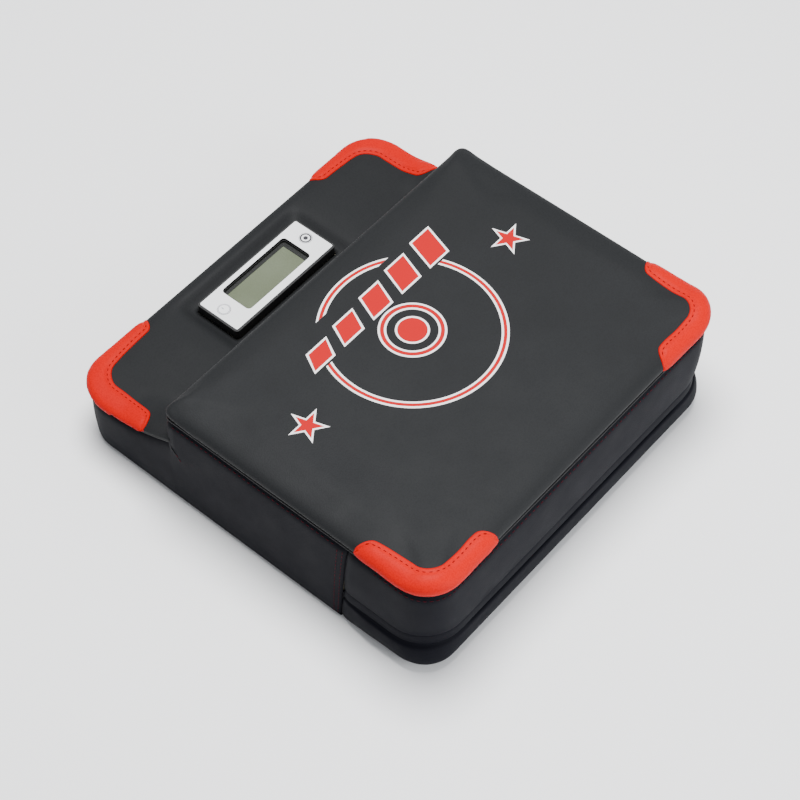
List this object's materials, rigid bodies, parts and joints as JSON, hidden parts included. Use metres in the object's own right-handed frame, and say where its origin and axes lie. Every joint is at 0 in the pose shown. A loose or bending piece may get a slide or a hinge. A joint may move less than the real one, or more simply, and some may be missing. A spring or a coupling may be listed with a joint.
{
  "type": "punch force pad",
  "caption": "Flat square punching pad in black leathercloth with red corner patches, a printed target, and a lower strip holding a small display with two buttons.",
  "frame": {"origin": "centre of the footprint on the surface that the pad lies on", "axes": "+X across the pad, +Y from the striking pad towards the display strip, +Z out of the striking face"},
  "size_m": [0.3, 0.308, 0.101],
  "materials": {
    "leathercloth_top": "satin",
    "leathercloth_side": "satin",
    "leathercloth_dark": "matte",
    "leathercloth_red": "satin",
    "piping_black": "satin",
    "plywood": "matte",
    "brass": "satin",
    "foam_grey": "matte",
    "foam_cream": "matte",
    "plastic_black": "satin",
    "cell_steel": "satin",
    "rubber_black": "matte",
    "screw_steel": "satin",
    "zip_tape": "matte",
    "zip_teeth": "satin",
    "slider_metal": "gloss",
    "bezel_white": "gloss",
    "clear_lens": "gloss",
    "lcd_grey": "satin",
    "silicone_pink": "matte",
    "circuit_green": "satin",
    "button_plastic": "satin",
    "plunger_plastic": "satin",
    "wire_red": "satin",
    "wire_black": "satin",
    "battery_wrap": "gloss",
    "contact_metal": "polished",
    "print_white": "satin",
    "print_red": "satin"
  },
  "bodies": {
    "base": {"cover_bottom": "leathercloth_dark", "base_board": "plywood", "wall_inserts": "brass", "cell_frame": "foam_grey", "load_cell_holders": "plastic_black", "load_cells": "cell_steel", "load_cell_feet": "rubber_black", "load_cell_screws": "screw_steel", "strike_plate": "plywood", "foam_core": "foam_cream", "cover_side_wrap": "leathercloth_side", "cover_front_upper": "leathercloth_side", "cover_front_lower": "leathercloth_side", "zip_flap": "leathercloth_side", "zip_tape_upper": "zip_tape", "zip_tape_lower": "zip_tape", "zip_teeth": "zip_teeth", "zip_stops": "zip_teeth", "cover_riser": "leathercloth_side", "foam_strip": "foam_cream", "cover_strip_top": "leathercloth_top", "strip_piping": "piping_black", "corner_patch_rear_left": "leathercloth_red", "corner_patch_rear_right": "leathercloth_red", "display_housing": "plastic_black", "display_bezel": "bezel_white", "display_lens": "clear_lens", "lcd_panel": "lcd_grey", "lcd_frame": "plastic_black", "zebra_strips": "silicone_pink", "circuit_board": "circuit_green", "control_chip": "plastic_black", "tact_switches": "plastic_black", "board_screws": "screw_steel", "sensor_harness": "wire_red", "battery_leads": "wire_black", "battery_box": "plastic_black", "battery_box_screws": "screw_steel", "batteries": "battery_wrap", "battery_contacts": "contact_metal"},
    "strike_pad": {"foam_strike": "foam_grey", "cover_pad_top": "leathercloth_top", "pad_piping": "piping_black", "corner_patch_front_left": "leathercloth_red", "corner_patch_front_right": "leathercloth_red", "target_print_white": "print_white", "target_print_red": "print_red"},
    "power_button": {"button_power": "button_plastic", "plunger_power": "plunger_plastic"},
    "mode_button": {"button_mode": "button_plastic", "plunger_mode": "plunger_plastic"},
    "battery_door": {"battery_door": "plastic_black"},
    "zip_slider": {"zip_slider": "slider_metal"}
  },
  "joints": [
    {"name": "pad_press", "type": "slide", "parent": "base", "child": "strike_pad", "axis": [0, 0, -1], "range_m": [0, 0.012], "stiffness_N_per_m": 25000, "deforming": ["foam_core", "cover_side_wrap", "cover_front_upper", "cover_riser"]},
    {"name": "power_press", "type": "slide", "parent": "base", "child": "power_button", "axis": [0, 0, -1], "range_m": [0, 0.0008], "stiffness_N_per_m": 2500},
    {"name": "mode_press", "type": "slide", "parent": "base", "child": "mode_button", "axis": [0, 0, -1], "range_m": [0, 0.0008], "stiffness_N_per_m": 2500},
    {"name": "battery_door_hinge", "type": "hinge", "parent": "base", "child": "battery_door", "pos_m": [0, 0.1068, 0.0033], "axis": [-1, 0, 0], "range_deg": [0, 90]},
    {"name": "zip_slide", "type": "slide", "parent": "base", "child": "zip_slider", "axis": [-1, 0, 0], "range_m": [0, 0.196]}
  ]
}
